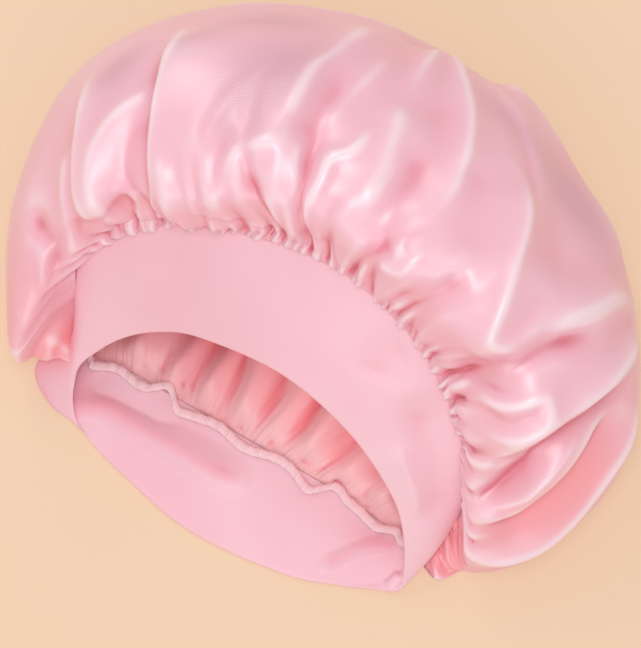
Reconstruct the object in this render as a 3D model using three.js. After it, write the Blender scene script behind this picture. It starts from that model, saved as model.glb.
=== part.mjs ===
// A satin sleep bonnet lying on its back with its mouth open, in millimetres, +Z up.
// A wide soft band frames the mouth, a full round crown is gathered onto the band,
// and a narrow elastic runs round the inside of the seam between them.
// X runs along the mouth, Y from the mouth to the far end of the crown.
import * as THREE from 'three';

const CLOTH = 2.0;             // wall of the crown
const CROWN_EDGE = 0.6;        // how far the crown's edge stands back from the seam line
const FLAT_UNDER = 0.35;       // under 1, the crown's underside spreads flat on the ground
const BAND_CLOTH = 2.4;        // wall of the band, which is cloth folded double
const BAND_EDGE = 0.15;        // how far the band's edge stands back from the seam line
const BAND_BULGE = 2.5;        // how far the band swells between its rim and the seam
const ELASTIC_RADIUS = 2.2;
const ELASTIC_INSET = 4;       // how far it sits from the seam, on the band's side
const ELASTIC_GAP = 0.3;       // clearance between the elastic and the band

const GATHER_DEPTH = 1.3;      // ripples that the gathering leaves beside the seam
const GATHER_START = 4;        // they rise over this distance from it
const GATHER_LENGTH = 26;      // and die away over this one
const SEAM_HOLD = 14;          // folds rise from nothing over this distance from the seam
const SEAM_TURN = 5;           // the wall turns to the crown's own direction over this one
const FOLD_REACH = 2.6;        // a fold is left out past this many times its width
const FOLD_ENDS = 0.25;        // the part of a fold's length over which each end dies away
const FOLD_STEPS = 24;         // straight stretches in a fold's path

const COLUMNS = 96;            // steps round the mouth, an even number
const ELASTIC_SIDES = 6;
const BAND_SHARES = [0, 0.3, 0.65, 1];
const CROWN_SHARES = [
  0, 0.02, 0.05, 0.09, 0.135, 0.185, 0.24, 0.295, 0.35, 0.405,
  0.46, 0.515, 0.57, 0.63, 0.69, 0.75, 0.81, 0.87, 0.93, 0.975,
];
const ANGLE_STEP = 1.5;        // steps for measuring a surface's direction
const SHARE_STEP = 0.01;
const MITRE_SHARE = 0.03;      // where the crown's direction beside the seam is measured
const MITRE_TURNS = [-12, -6, 0, 6, 12];

// Places round the mouth are angles in degrees: 0 at the right end, 90 at the top of the
// front, 180 at the left end and 270 at the nape, which lies on the ground.
const RIM = [
  { angle: 0, x: 113, y: 40, z: 8 },
  { angle: 25, x: 101, y: 57, z: 29 },
  { angle: 45, x: 84, y: 69, z: 46 },
  { angle: 65, x: 50, y: 79, z: 68 },
  { angle: 90, x: 4, y: 82, z: 80 },
  { angle: 110, x: -43, y: 76, z: 68 },
  { angle: 130, x: -66, y: 68, z: 54 },
  { angle: 150, x: -82, y: 57, z: 39 },
  { angle: 170, x: -92, y: 43, z: 26 },
  { angle: 182, x: -95, y: 34, z: 20 },
  { angle: 195, x: -93, y: 23, z: 12 },
  { angle: 210, x: -84, y: 13, z: 3 },
  { angle: 225, x: -69, y: 9, z: 0 },
  { angle: 240, x: -48, y: 5, z: 0 },
  { angle: 270, x: 2, y: 0, z: 0 },
  { angle: 300, x: 58, y: 10, z: 0 },
  { angle: 320, x: 86, y: 22, z: 0 },
  { angle: 335, x: 103, y: 31, z: 1 },
  { angle: 348, x: 111, y: 35, z: 3 },
];
const SEAM = [
  { angle: 0, x: 116, y: 80, z: 30 },
  { angle: 25, x: 107, y: 102, z: 54 },
  { angle: 45, x: 88, y: 117, z: 76 },
  { angle: 65, x: 56, y: 131, z: 98 },
  { angle: 90, x: 6, y: 137, z: 110 },
  { angle: 110, x: -43, y: 128, z: 106 },
  { angle: 130, x: -84, y: 112, z: 94 },
  { angle: 150, x: -106, y: 95, z: 80 },
  { angle: 170, x: -120, y: 74, z: 62 },
  { angle: 182, x: -118, y: 62, z: 40 },
  { angle: 195, x: -108, y: 53, z: 16 },
  { angle: 210, x: -95, y: 49, z: 3 },
  { angle: 225, x: -78, y: 51, z: 0 },
  { angle: 240, x: -56, y: 53, z: 0 },
  { angle: 270, x: -2, y: 57, z: 0 },
  { angle: 300, x: 58, y: 61, z: 0 },
  { angle: 320, x: 88, y: 64, z: 1 },
  { angle: 335, x: 104, y: 68, z: 6 },
  { angle: 348, x: 112, y: 73, z: 17 },
];

// Sections of the crown from the seam to its far end, evenly spaced in share. Each gives
// its left and right points, the height and depth of its top and bottom, and how full
// its shoulders are.
const SECTIONS = [
  { leftX: -124, leftY: 22, leftZ: 40, rightX: 136, rightY: 64, rightZ: 16,
    topY: 132, topZ: 128, bottomY: 92, bottomZ: -12, power: 0.9 },
  { leftX: -142, leftY: 36, leftZ: 44, rightX: 160, rightY: 86, rightZ: 15,
    topY: 142, topZ: 146, bottomY: 106, bottomZ: -6, power: 0.9 },
  { leftX: -172, leftY: 84, leftZ: 48, rightX: 171, rightY: 122, rightZ: 15,
    topY: 163, topZ: 155, bottomY: 126, bottomZ: -10, power: 0.85 },
  { leftX: -184, leftY: 150, leftZ: 50, rightX: 172, rightY: 160, rightZ: 18,
    topY: 196, topZ: 153, bottomY: 152, bottomZ: -10, power: 0.85 },
  { leftX: -160, leftY: 206, leftZ: 54, rightX: 150, rightY: 204, rightZ: 34,
    topY: 228, topZ: 140, bottomY: 196, bottomZ: -8, power: 0.9 },
  { leftX: -112, leftY: 246, leftZ: 58, rightX: 112, rightY: 242, rightZ: 52,
    topY: 256, topZ: 118, bottomY: 236, bottomZ: 6, power: 0.95 },
  { leftX: -55, leftY: 270, leftZ: 60, rightX: 56, rightY: 268, rightZ: 60,
    topY: 273, topZ: 92, bottomY: 262, bottomZ: 32, power: 1 },
];
const FAR_END = new THREE.Vector3(0, 279, 62);

// Folds of the crown. A path is a list of [angle, share] pairs, share running from 0 at
// the seam to 1 at the far end. Height is out of the cloth, negative for a crease, and
// dies away over the left and right widths beside the path.
const FOLDS = [
  // the crease between the upper lobe and the ring that lies on the ground
  { path: [[-10, 0.05], [20, 0.1], [34, 0.17], [35, 0.27], [34, 0.37], [30, 0.47], [17, 0.64]],
    left: 20, right: 24, height: -16 },
  // the lip of the upper lobe over it, and the ring's crest
  { path: [[44, 0.1], [46, 0.18], [46, 0.28], [44, 0.38], [38, 0.48], [32, 0.57], [26, 0.66]],
    left: 18, right: 16, height: 7 },
  { path: [[8, 0.12], [4, 0.22], [4, 0.34], [6, 0.46]], left: 13, right: 15, height: 5 },
  // the left lobe's edge, and the panel beside it
  { path: [[157, 0.49], [146, 0.39], [143, 0.29], [142, 0.24]], left: 30, right: 11, height: 7 },
  { path: [[132, 0.46], [138, 0.4], [140, 0.33], [136, 0.22]], left: 11, right: 11, height: 6 },
  { path: [[130, 0.43], [134, 0.33], [134, 0.24]], left: 12, right: 11, height: -7 },
  // the wide puff left of the middle
  { path: [[144, 0.58], [131, 0.47], [128, 0.36], [128, 0.26], [125, 0.16]],
    left: 55, right: 11, height: 10 },
  { path: [[112, 0.4], [110, 0.29], [110, 0.17]], left: 12, right: 12, height: -6 },
  // the long ridges and valleys that fan out of the middle of the seam
  { path: [[122, 0.78], [109, 0.62], [105, 0.49], [105, 0.36]], left: 13, right: 16, height: 8 },
  { path: [[106, 0.62], [101, 0.47], [99, 0.35], [99, 0.17]], left: 11, right: 11, height: -8 },
  { path: [[94, 0.53], [96, 0.41], [96, 0.31], [98, 0.16]], left: 11, right: 11, height: 7 },
  { path: [[89, 0.55], [88, 0.42], [88, 0.24]], left: 11, right: 11, height: -8 },
  { path: [[104, 0.78], [89, 0.72], [82, 0.51], [81, 0.38]], left: 11, right: 12, height: 6 },
  { path: [[80, 0.59], [76, 0.45], [74, 0.38]], left: 13, right: 12, height: -6 },
  // the great ridge on the right, the hollow beyond it and the crease below
  { path: [[80, 0.6], [70, 0.62], [64, 0.4], [58, 0.35], [51, 0.48], [34, 0.62], [14, 0.68]],
    left: 15, right: 15, height: 8 },
  { path: [[46, 0.86], [55, 0.72], [58, 0.59], [58, 0.47]], left: 26, right: 22, height: -9 },
  { path: [[61, 0.16], [58, 0.28], [54, 0.39], [43, 0.54]], left: 15, right: 15, height: -9 },
];

const BAND_PINK = 0xf6c3d1;
const CROWN_PINK = 0xf2b6c6;
const ELASTIC_PINK = 0xfbe3e8;

const radians = THREE.MathUtils.degToRad;
const smooth = (value) => THREE.MathUtils.smoothstep(value, 0, 1);

// A closed smooth curve through rows of { angle, x, y, z }, at an angle in degrees.
function loopPoint(rows, angle) {
  const count = rows.length;
  const point = (i) => rows[(i + count) % count];
  const place = (i) => point(i).angle + 360 * Math.floor(i / count);
  const turned = ((angle % 360) + 360) % 360;
  let i = count - 1;
  while (rows[i].angle > turned) i -= 1;
  const step = place(i + 1) - place(i);
  const u = (turned - place(i)) / step;
  const along = (key) => {
    const slope = (k) => (point(k + 1)[key] - point(k - 1)[key]) / (place(k + 1) - place(k - 1));
    const start = point(i)[key] * (2 * u ** 3 - 3 * u ** 2 + 1);
    const end = point(i + 1)[key] * (3 * u ** 2 - 2 * u ** 3);
    const leaving = slope(i) * step * (u ** 3 - 2 * u ** 2 + u);
    const arriving = slope(i + 1) * step * (u ** 3 - u ** 2);
    return start + end + leaving + arriving;
  };
  return new THREE.Vector3(along('x'), along('y'), along('z'));
}

// A section of the crown at an angle in degrees.
function sectionPoint(row, angle) {
  const c = Math.cos(radians(angle));
  const s = Math.sin(radians(angle));
  const reach = Math.abs(c) ** row.power;
  const rise = Math.abs(s) ** (s > 0 ? row.power : row.power * FLAT_UNDER);
  const toRight = smooth(0.5 + 0.5 * c);
  const sideY = THREE.MathUtils.lerp(row.leftY, row.rightY, toRight);
  const sideZ = THREE.MathUtils.lerp(row.leftZ, row.rightZ, toRight);
  const endY = s > 0 ? row.topY : row.bottomY;
  const endZ = s > 0 ? row.topZ : row.bottomZ;
  return new THREE.Vector3(
    (c > 0 ? row.rightX : row.leftX) * reach,
    THREE.MathUtils.lerp(sideY, endY, s > 0 ? s * s : -s),
    THREE.MathUtils.lerp(sideZ, endZ, rise),
  );
}

// The crown without its folds: a smooth surface through the seam, the sections and the far end.
function crownBase(angle, share) {
  const rings = [loopPoint(SEAM, angle), ...SECTIONS.map((row) => sectionPoint(row, angle)), FAR_END];
  const last = rings.length - 1;
  const before = rings[0].clone().multiplyScalar(2).sub(rings[1]);
  const after = rings[last].clone().multiplyScalar(2).sub(rings[last - 1]);
  const at = Math.min(Math.max(share, 0), 1) * last;
  const i = Math.min(Math.floor(at), last - 1);
  const u = at - i;
  const points = [before, ...rings, after].slice(i, i + 4);
  const weights = [
    0.5 * (-u + 2 * u ** 2 - u ** 3),
    0.5 * (2 - 5 * u ** 2 + 3 * u ** 3),
    0.5 * (u + 4 * u ** 2 - 3 * u ** 3),
    0.5 * (-(u ** 2) + u ** 3),
  ];
  const sum = new THREE.Vector3();
  points.forEach((point, k) => sum.addScaledVector(point, weights[k]));
  return sum;
}

// Outward direction of a surface given as a function of angle and share.
function outward(surface, angle, share) {
  const low = Math.max(share - SHARE_STEP, 0);
  const high = Math.min(share + SHARE_STEP, 1 - SHARE_STEP / 2);
  const around = surface(angle + ANGLE_STEP, share).sub(surface(angle - ANGLE_STEP, share));
  const along = surface(angle, high).sub(surface(angle, low));
  return along.cross(around).normalize();
}

// A fold's path laid on the unfolded crown.
function layPath(fold) {
  const curve = new THREE.SplineCurve(fold.path.map(([angle, share]) => new THREE.Vector2(angle, share)));
  return curve.getPoints(FOLD_STEPS).map(({ x, y }) => crownBase(x, y));
}

const laidFolds = FOLDS.map((fold) => ({ ...fold, points: layPath(fold) }));

// How far a fold lifts a point of the crown along its outward direction.
function foldLift(fold, point, direction) {
  const last = fold.points.length - 1;
  let nearest = FOLD_REACH * Math.max(fold.left, fold.right);
  let lift = 0;
  const segment = new THREE.Line3();
  const foot = new THREE.Vector3();
  for (let i = 0; i < last; i += 1) {
    segment.set(fold.points[i], fold.points[i + 1]);
    const u = segment.closestPointToPointParameter(point, true);
    segment.at(u, foot);
    const distance = foot.distanceTo(point);
    if (distance >= nearest) continue;
    nearest = distance;
    const toRight = segment.delta(new THREE.Vector3()).cross(direction);
    const side = point.clone().sub(foot).dot(toRight);
    const width = side > 0 ? fold.right : fold.left;
    const along = (i + u) / last;
    const ends = smooth(along / FOLD_ENDS) * smooth((1 - along) / FOLD_ENDS);
    lift = fold.height * Math.exp(-((distance / width) ** 2)) * ends;
  }
  return lift;
}

// Between the band's outward direction at the seam and the crown's, so their walls meet in
// a mitre that turns slowly from one column to the next.
function seamDirection(angle) {
  const sum = new THREE.Vector3();
  for (const turn of MITRE_TURNS) {
    const both = outward(bandBase, angle + turn, 1);
    both.add(outward(crownBase, angle + turn, MITRE_SHARE));
    sum.add(both.normalize());
  }
  return sum.normalize();
}

// One column of the crown's outer surface, from the seam to the last ring.
function crownColumn(column) {
  const angle = (360 * column) / COLUMNS;
  const ripple = column % 2 ? -GATHER_DEPTH : GATHER_DEPTH;
  const edgeDirection = seamDirection(angle);
  const points = [];
  let fromSeam = 0;
  let previous = null;
  for (const share of CROWN_SHARES) {
    const point = crownBase(angle, share);
    if (previous) fromSeam += point.distanceTo(previous);
    previous = point.clone();
    const direction = outward(crownBase, angle, share);
    let lift = 0;
    for (const fold of laidFolds) lift += foldLift(fold, point, direction);
    lift *= smooth(fromSeam / SEAM_HOLD);
    const fading = Math.exp(-((fromSeam / GATHER_LENGTH) ** 2));
    lift += ripple * fading * smooth(fromSeam / GATHER_START);
    point.addScaledVector(direction, lift);
    point.z = Math.max(point.z, 0);
    const turned = smooth(fromSeam / SEAM_TURN);
    direction.multiplyScalar(turned).addScaledVector(edgeDirection, 1 - turned).normalize();
    points.push({ point, direction });
  }
  return points;
}

// The band without its cloth's thickness, share running from 0 at the rim to 1 at the seam.
function bandBase(angle, share) {
  return loopPoint(RIM, angle).lerp(loopPoint(SEAM, angle), share);
}

// The direction along the band from the seam to the rim.
function towardsRim(angle) {
  return bandBase(angle, 0).sub(bandBase(angle, 1)).normalize();
}

function geometryFrom(points, triangles) {
  const geometry = new THREE.BufferGeometry();
  const numbers = points.flatMap((point) => point.toArray());
  geometry.setAttribute('position', new THREE.Float32BufferAttribute(numbers, 3));
  geometry.setIndex(triangles);
  geometry.computeVertexNormals();
  return geometry;
}

// Triangles between neighbouring rings of COLUMNS points each.
function ringTriangles(first, second) {
  const triangles = [];
  for (let column = 0; column < COLUMNS; column += 1) {
    const next = (column + 1) % COLUMNS;
    triangles.push(first + column, second + next, first + next);
    triangles.push(first + column, second + column, second + next);
  }
  return triangles;
}

// A closed body from rings that follow one another round a section and back to the first.
function ringBody(rings) {
  const triangles = rings.flatMap((_, i) => {
    const next = (i + 1) % rings.length;
    return ringTriangles(i * COLUMNS, next * COLUMNS);
  });
  return geometryFrom(rings.flat(), triangles);
}

function crownGeometry() {
  const columns = Array.from({ length: COLUMNS }, (_, column) => crownColumn(column));
  const outer = CROWN_SHARES.map((_, row) => columns.map((points) => points[row].point));
  const inner = CROWN_SHARES.map((_, row) => columns.map((points) => {
    const { point, direction } = points[row];
    const inside = point.clone().addScaledVector(direction, -CLOTH);
    inside.z = Math.max(inside.z, CLOTH);
    return inside;
  }));
  // both layers stop short of the seam line
  for (const layer of [outer, inner]) {
    layer[0].forEach((point, column) => {
      const away = layer[1][column].clone().sub(point).normalize();
      point.addScaledVector(away, CROWN_EDGE);
    });
  }
  const rings = [...inner.slice().reverse(), ...outer];
  const rows = rings.length;
  const triangles = [];
  for (let i = 0; i < rows - 1; i += 1) {
    triangles.push(...ringTriangles(i * COLUMNS, (i + 1) * COLUMNS));
  }
  const points = rings.flat();
  const outerEnd = points.push(FAR_END.clone()) - 1;
  const innerEnd = points.push(FAR_END.clone().setY(FAR_END.y - CLOTH)) - 1;
  const lastRing = (rows - 1) * COLUMNS;
  for (let column = 0; column < COLUMNS; column += 1) {
    const next = (column + 1) % COLUMNS;
    triangles.push(lastRing + next, lastRing + column, outerEnd);
    triangles.push(column, next, innerEnd);
  }
  return geometryFrom(points, triangles);
}

// Outer surface from seam to rim, a rounded edge, then the inner surface back to the seam.
function bandGeometry() {
  const outer = [];
  const inner = [];
  for (const share of BAND_SHARES) {
    const outerRing = [];
    const innerRing = [];
    for (let column = 0; column < COLUMNS; column += 1) {
      const angle = (360 * column) / COLUMNS;
      const direction = share < 1 ? outward(bandBase, angle, share) : seamDirection(angle);
      const point = bandBase(angle, share);
      point.addScaledVector(direction, BAND_BULGE * Math.sin(Math.PI * share));
      if (share === 1) point.addScaledVector(towardsRim(angle), BAND_EDGE);
      point.z = Math.max(point.z, 0);
      outerRing.push(point);
      const inside = point.clone().addScaledVector(direction, -BAND_CLOTH);
      inside.z = Math.max(inside.z, BAND_CLOTH);
      innerRing.push(inside);
    }
    outer.push(outerRing);
    inner.push(innerRing);
  }
  const edge = outer[0].map((point, column) => {
    const beyond = point.clone().sub(outer[1][column]).normalize();
    const middle = point.clone().lerp(inner[0][column], 0.5);
    return middle.addScaledVector(beyond, BAND_CLOTH / 2);
  });
  return ringBody([...inner.slice().reverse(), edge, ...outer]);
}

// A round elastic along the inside of the seam.
function elasticGeometry() {
  const rings = Array.from({ length: ELASTIC_SIDES }, () => []);
  for (let column = 0; column < COLUMNS; column += 1) {
    const angle = (360 * column) / COLUMNS;
    const away = outward(bandBase, angle, 1);
    const forward = towardsRim(angle);
    const depth = BAND_CLOTH + ELASTIC_GAP + ELASTIC_RADIUS;
    const centre = bandBase(angle, 1);
    centre.addScaledVector(away, -depth).addScaledVector(forward, ELASTIC_INSET);
    centre.z = Math.max(centre.z, depth);
    for (let side = 0; side < ELASTIC_SIDES; side += 1) {
      const turn = (2 * Math.PI * side) / ELASTIC_SIDES;
      const point = centre.clone();
      point.addScaledVector(forward, ELASTIC_RADIUS * Math.cos(turn));
      point.addScaledVector(away, ELASTIC_RADIUS * Math.sin(turn));
      rings[side].push(point);
    }
  }
  return ringBody(rings);
}

function piece(name, geometry, color, roughness) {
  const material = new THREE.MeshStandardMaterial({ color, roughness, metalness: 0 });
  const mesh = new THREE.Mesh(geometry, material);
  mesh.name = name;
  return mesh;
}

const bonnet = new THREE.Group();
bonnet.add(piece('crown', crownGeometry(), CROWN_PINK, 0.35));
bonnet.add(piece('band', bandGeometry(), BAND_PINK, 0.6));
bonnet.add(piece('seam_elastic', elasticGeometry(), ELASTIC_PINK, 0.8));

// the origin is under the middle of the whole bonnet, on the ground
const bounds = new THREE.Box3().setFromObject(bonnet);
const middle = bounds.getCenter(new THREE.Vector3());
bonnet.position.set(-middle.x, -middle.y, -bounds.min.z);

export default bonnet;
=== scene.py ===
# A satin sleep bonnet that lies on its back with its mouth open, seen from nearly above.
# The shapes are worked out in millimetres, with the middle of the mouth's lower rim as zero,
# X along the mouth, Y away from it and Z up, and are then placed in the frame in metres.
import math

import bpy
import numpy as np
from mathutils import Matrix, Vector


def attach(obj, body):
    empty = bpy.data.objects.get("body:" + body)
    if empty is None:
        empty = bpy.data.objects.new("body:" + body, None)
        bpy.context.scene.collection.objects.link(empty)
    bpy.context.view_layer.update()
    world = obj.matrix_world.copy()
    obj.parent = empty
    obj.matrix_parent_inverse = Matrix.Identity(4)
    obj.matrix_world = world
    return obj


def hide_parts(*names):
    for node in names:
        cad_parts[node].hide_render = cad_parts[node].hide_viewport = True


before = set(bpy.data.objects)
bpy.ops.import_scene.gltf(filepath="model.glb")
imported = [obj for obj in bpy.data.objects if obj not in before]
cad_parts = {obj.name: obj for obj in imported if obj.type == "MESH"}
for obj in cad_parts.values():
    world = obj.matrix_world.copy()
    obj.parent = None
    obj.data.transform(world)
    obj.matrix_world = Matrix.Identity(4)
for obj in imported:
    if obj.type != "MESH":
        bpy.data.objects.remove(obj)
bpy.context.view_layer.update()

MM = 0.001
TINY = 1e-9     # keeps a length of zero out of a division
MOUTH = np.array([3.8, -138.8, 0.0])    # where the middle of the lower rim lies in the frame

# the crown's form and grid
CROWN_CLOTH = 1.6       # wall of the crown, to the coarser layer inside it
CROWN_COLUMNS = 560
CROWN_ROWS = 134
EVEN_ROWS = 0.35        # this part of the rows is spread evenly
ROW_POWER = 1.55        # and the rest lie closer together at the seam
LAST_SHARE = 0.996      # where the last row lies, which a fan of faces closes
TOP_COLUMNS = 0.25      # how much closer the columns lie over the top of the crown
TOP_ANGLE = 100
FLAT_UNDER = 0.35       # under 1, the crown's underside spreads flat on the ground
SEAM_HOLD = 12          # folds rise from nothing over this distance from the seam
SEAM_PUFF = 3.0         # how far the gathered cloth stands out beside the seam
PUFF_START = 4          # it rises over this distance
PUFF_LENGTH = 13        # and falls off over this one

# the form of a fold, in widths from its path
CREST = 0.14            # a ridge comes to a crest that is rounded off this far
CREST_FALL = 1.5        # how steeply it falls off beside the crest
FOLD_REACH = 2.6        # it ends here
FOLD_FADE = 1.6         # and fades out over this much
FOLD_ENDS = 0.25        # share of the path over which it rises and dies out
PATH_STEPS = 40
FOLD_ROUNDS = 3         # rounds of smoothing for the crown's folds
FINE_CREST = 8          # rounds of smoothing that its crests are measured against
BROAD_CREST = 60

# the band's form and grid
BAND_CLOTH = 2.2        # the band is cloth folded double
BAND_BULGE = 2.5
BAND_COLUMNS = 480
BAND_ROWS = 44
BAND_HOLD = 0.5         # under 1, its folds run closer to its edges
RIM_STEPS = 6           # steps round the band's folded edge

# the gathers beside the seam
GATHER_SEED = 5
GATHER_HOLD = 5         # they rise from nothing over this distance from the seam
GATHER_STRAY = 0.4      # how far one lies from its place in an even row, in spacings
GATHER_SPREAD = 50      # one is twice as wide this far from the seam
GATHER_POWER = 1.5      # over 1, they end more suddenly
# Columns: how many, depths, widths, how far they run into the crown, how much they slant,
# and the angles between which they lie.
GATHERS = [
    (84, (0.6, 1.6), (0.7, 1.0), (5, 14), 0.2, (0, 172)),
    (50, (1.2, 3.2), (1.0, 1.7), (16, 44), 0.2, (0, 174)),
    (8, (1.5, 3.5), (1.5, 2.5), (12, 30), 0.2, (330, 360)),
    (24, (2.6, 5.0), (1.6, 2.6), (36, 75), 0.25, (0, 172)),
    # the deeper pleats of the lower layer, which show through the open mouth
    (9, (2, 4), (4.5, 7.0), (60, 130), 0.12, (222, 322)),
    (30, (1.5, 2.8), (2.0, 2.8), (10, 24), 0.3, (215, 330)),
]

# the elastic and the thread over it
ELASTIC_WIDTH = 5.0
ELASTIC_THICK = 1.9
ELASTIC_DEPTH = 4.4     # its middle lies this far inside the band
ELASTIC_INSET = 3.2     # and this far from the seam, on the band's side
ELASTIC_LIFT = 0.5      # its edge stays this far off the ground
ELASTIC_STEPS = 900
ELASTIC_SIDES = 12
# Small ruffles stand off the band and wider waves lie along it. Their sway is how far a crest
# strays, in radians, and how often, and their swell how much the height varies, and how often.
RUFFLE = 0.9
RUFFLE_PITCH = 6.5
RUFFLE_SWAY = (1.7, 5)
RUFFLE_SWELL = (0.25, 11)
WAVE = 2.2
WAVE_PITCH = 36
WAVE_SWAY = (1.3, 3)
WAVE_SWELL = (0.3, 4)
# Where the elastic turns aside for a moment. Columns: angle, reach, how far towards the rim.
ELASTIC_TURNS = [
    (163, 4, -5), (243, 4, -6), (248, 3.5, 3), (297, 4, -6), (292, 3.5, 3), (322, 4, -4),
]
THREAD = 0.26           # the thread's radius
THREAD_OUT = 0.6        # how far its middle lies outside the elastic, in radii
THREAD_PITCH = 1.5
THREAD_SIDES = 5
THREAD_STEPS = 10       # steps in one turn of the thread

# The cloths. Swells and crests are how far the cloth stands out of its surroundings, in
# millimetres, and a bump's depth is in metres.
SATIN_IOR = 1.6
# painted highlight and shade: the crown's satin is paler on its swells and rosier in its hollows,
# between these heights
SWELLS = (-4.5, 3.5)        # from the rosiest hollow to the palest swell
# painted highlight on the crests, between these heights
PAINTED_CREST_HIGHLIGHTS = (0.1, 0.9)         # crests that gleam
# painted shade in the creases, between these depths
PAINTED_CREASE_SHADE = (-0.1, -1.1)      # creases that are darker
# painted shade in the hollows of the duller cloths
SOFT_HOLLOW = -2.2          # where the duller cloths are rosiest
# painted shade in the inner hollows of the crown's back, behind its outer crests
INNER_CREST = 1.2           # the crown's back is rosiest where its outer side has a crest
# strength of the painted coral bounce light and shade on the crown's satin
PAINTED_BOUNCE = 0.8
# strength of the spots of painted shade on the duller cloths
SOFT_PAINTED_SHADE = 0.9
SHADE = 0.8
PATCH_SCALE = 9.0           # the duller cloths have broad soft patches
PATCH_EDGES = (0.35, 0.65)
PATCH = 0.3
TWILL_PITCH = 1.5
TWILL_STRENGTH = 0.09
TWILL_DEPTH = 0.0005
GRAIN_DEPTH = 0.0004
SATIN_GRAIN = (1800.0, 0.1)     # scale and strength
SOFT_GRAIN = (1600.0, 0.12)
WRINKLES_ACROSS = 0.45      # fine creases in a millimetre of the seam
WRINKLES_ALONG = 0.03
WRINKLE_LENGTH = 30
WRINKLE_DEPTH = 0.0022
SATIN_WRINKLES = 0.9
INNER_WRINKLES = 0.6
LOBE_ANGLE = 192            # the left lobe, where the seam has none of them
LOBE_REACH = 34

# colours, as 0 to 255 on a screen
# the crown's satin: paler where painted highlight lies on its swells, rosier where painted shade
# lies in its hollows
PALE_PINK = (250, 203, 217)
ROSE_PINK = (240, 156, 172)
# painted coral bounce light and shade
CORAL_PINK = (254, 160, 165)
MAUVE_PINK = (222, 168, 186)
# painted highlight on crests
PAINTED_HIGHLIGHT_PINK = (253, 226, 235)
# painted shade in creases
CREASE_SHADE_PINK = (228, 122, 140)
# the crown's back: rosier where painted shade lies in its inner hollows
INNER_PALE = (254, 200, 204)
INNER_ROSE = (240, 120, 132)
# the band: rosier where painted shade lies in its hollows and dents
BAND_PALE = (249, 205, 217)
BAND_ROSE = (242, 165, 180)
THREAD_PINK = (254, 222, 227)
THREAD_ROSE = (252, 202, 208)
PEACH = (244, 211, 181)
PALE_PEACH = (246, 214, 185)
BLACK = (0, 0, 0)

# the floor, in metres
FLOOR_SIZE = 6.0
FLOOR_DROP = 0.0005
FLOOR_GLOW = 0.5
FLOOR_DARKER = 0.52
FLOOR_SCALE = 3.0           # of the slight change between its two colours
FLOOR_EDGES = (0.3, 0.7)

# The lights. Columns: name, place and size in metres, watts.
LIGHTS = [
    ("key", (0.15, -0.3, 1.9), (0.25, 0.7), 7.2),
    ("left", (-0.9, 0.5, 1.2), (0.3, 0.8), 3.4),
    ("fill", (0.6, -1.1, 1.3), (1.2, 0.8), 5.5),
]
LIT_PLACE = (0, 0, 0.05)
GLOW_PLACE = (40, 140, 60)  # in millimetres from the middle of the lower rim
GLOW_WATTS = 0.055
GLOW_RADIUS = 0.03
GLOW_COLOUR = (1, 0.62, 0.6)
SKY_COLOUR = (1, 0.96, 0.95, 1)
SKY_STRENGTH = 0.6

# the camera stands where the photo was taken from
IMAGE = (641, 648)
RIM_PIXEL = (186.5, 527)    # where the middle of the lower rim shows
PIXELS_PER_MM = 1.88
CAMERA_AZIMUTH = 35
CAMERA_ELEVATION = 75
LENS = 200
SENSOR = 36
FAR_CLIP = 50

# Places round the mouth are angles in degrees: 0 at the right end, 90 at the top of the
# front, 180 at the left end and 270 at the nape. Columns: angle, x, y, z.
RIM = [
    (0, 113, 40, 8), (25, 101, 57, 29), (45, 84, 69, 46), (65, 50, 79, 68),
    (90, 4, 82, 80), (110, -43, 76, 68), (130, -66, 68, 54), (150, -82, 57, 39),
    (170, -92, 43, 26), (182, -95, 34, 20), (195, -93, 23, 12), (210, -84, 13, 3),
    (225, -69, 9, 0), (240, -48, 5, 0), (270, 2, 0, 0), (300, 58, 10, 0),
    (320, 86, 22, 0), (335, 103, 31, 1), (348, 111, 35, 3),
]
SEAM = [
    (0, 117, 86, 24), (25, 107, 102, 54), (45, 88, 117, 76), (65, 56, 131, 98),
    (90, 6, 137, 110), (110, -43, 128, 106), (130, -84, 112, 94), (150, -106, 95, 80),
    (170, -120, 74, 62), (182, -114, 65, 40), (195, -104, 55, 16), (210, -98, 46, 3),
    (225, -78, 51, 0), (240, -56, 53, 0), (270, -2, 57, 0), (300, 58, 61, 0),
    (320, 90, 61, 0), (335, 106, 62, 2), (348, 106, 76, 10),
]
# Sections of the crown from the seam to its far end, evenly spaced in share. Columns: left
# x, y, z, right x, y, z, top y, z, bottom y, z, and how full the shoulders are.
SECTIONS = [
    (-124, 22, 40, 136, 64, 16, 132, 128, 92, -12, 0.9),
    (-142, 36, 44, 160, 86, 15, 142, 146, 106, -6, 0.9),
    (-172, 84, 48, 171, 122, 15, 163, 155, 126, -10, 0.85),
    (-184, 150, 50, 172, 160, 18, 196, 153, 152, -10, 0.85),
    (-160, 206, 54, 150, 204, 34, 228, 140, 196, -8, 0.9),
    (-112, 246, 58, 112, 242, 52, 256, 118, 236, 6, 0.95),
    (-55, 270, 60, 56, 268, 60, 273, 92, 262, 32, 1.0),
]
FAR_END = (0, 279, 62)

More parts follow.
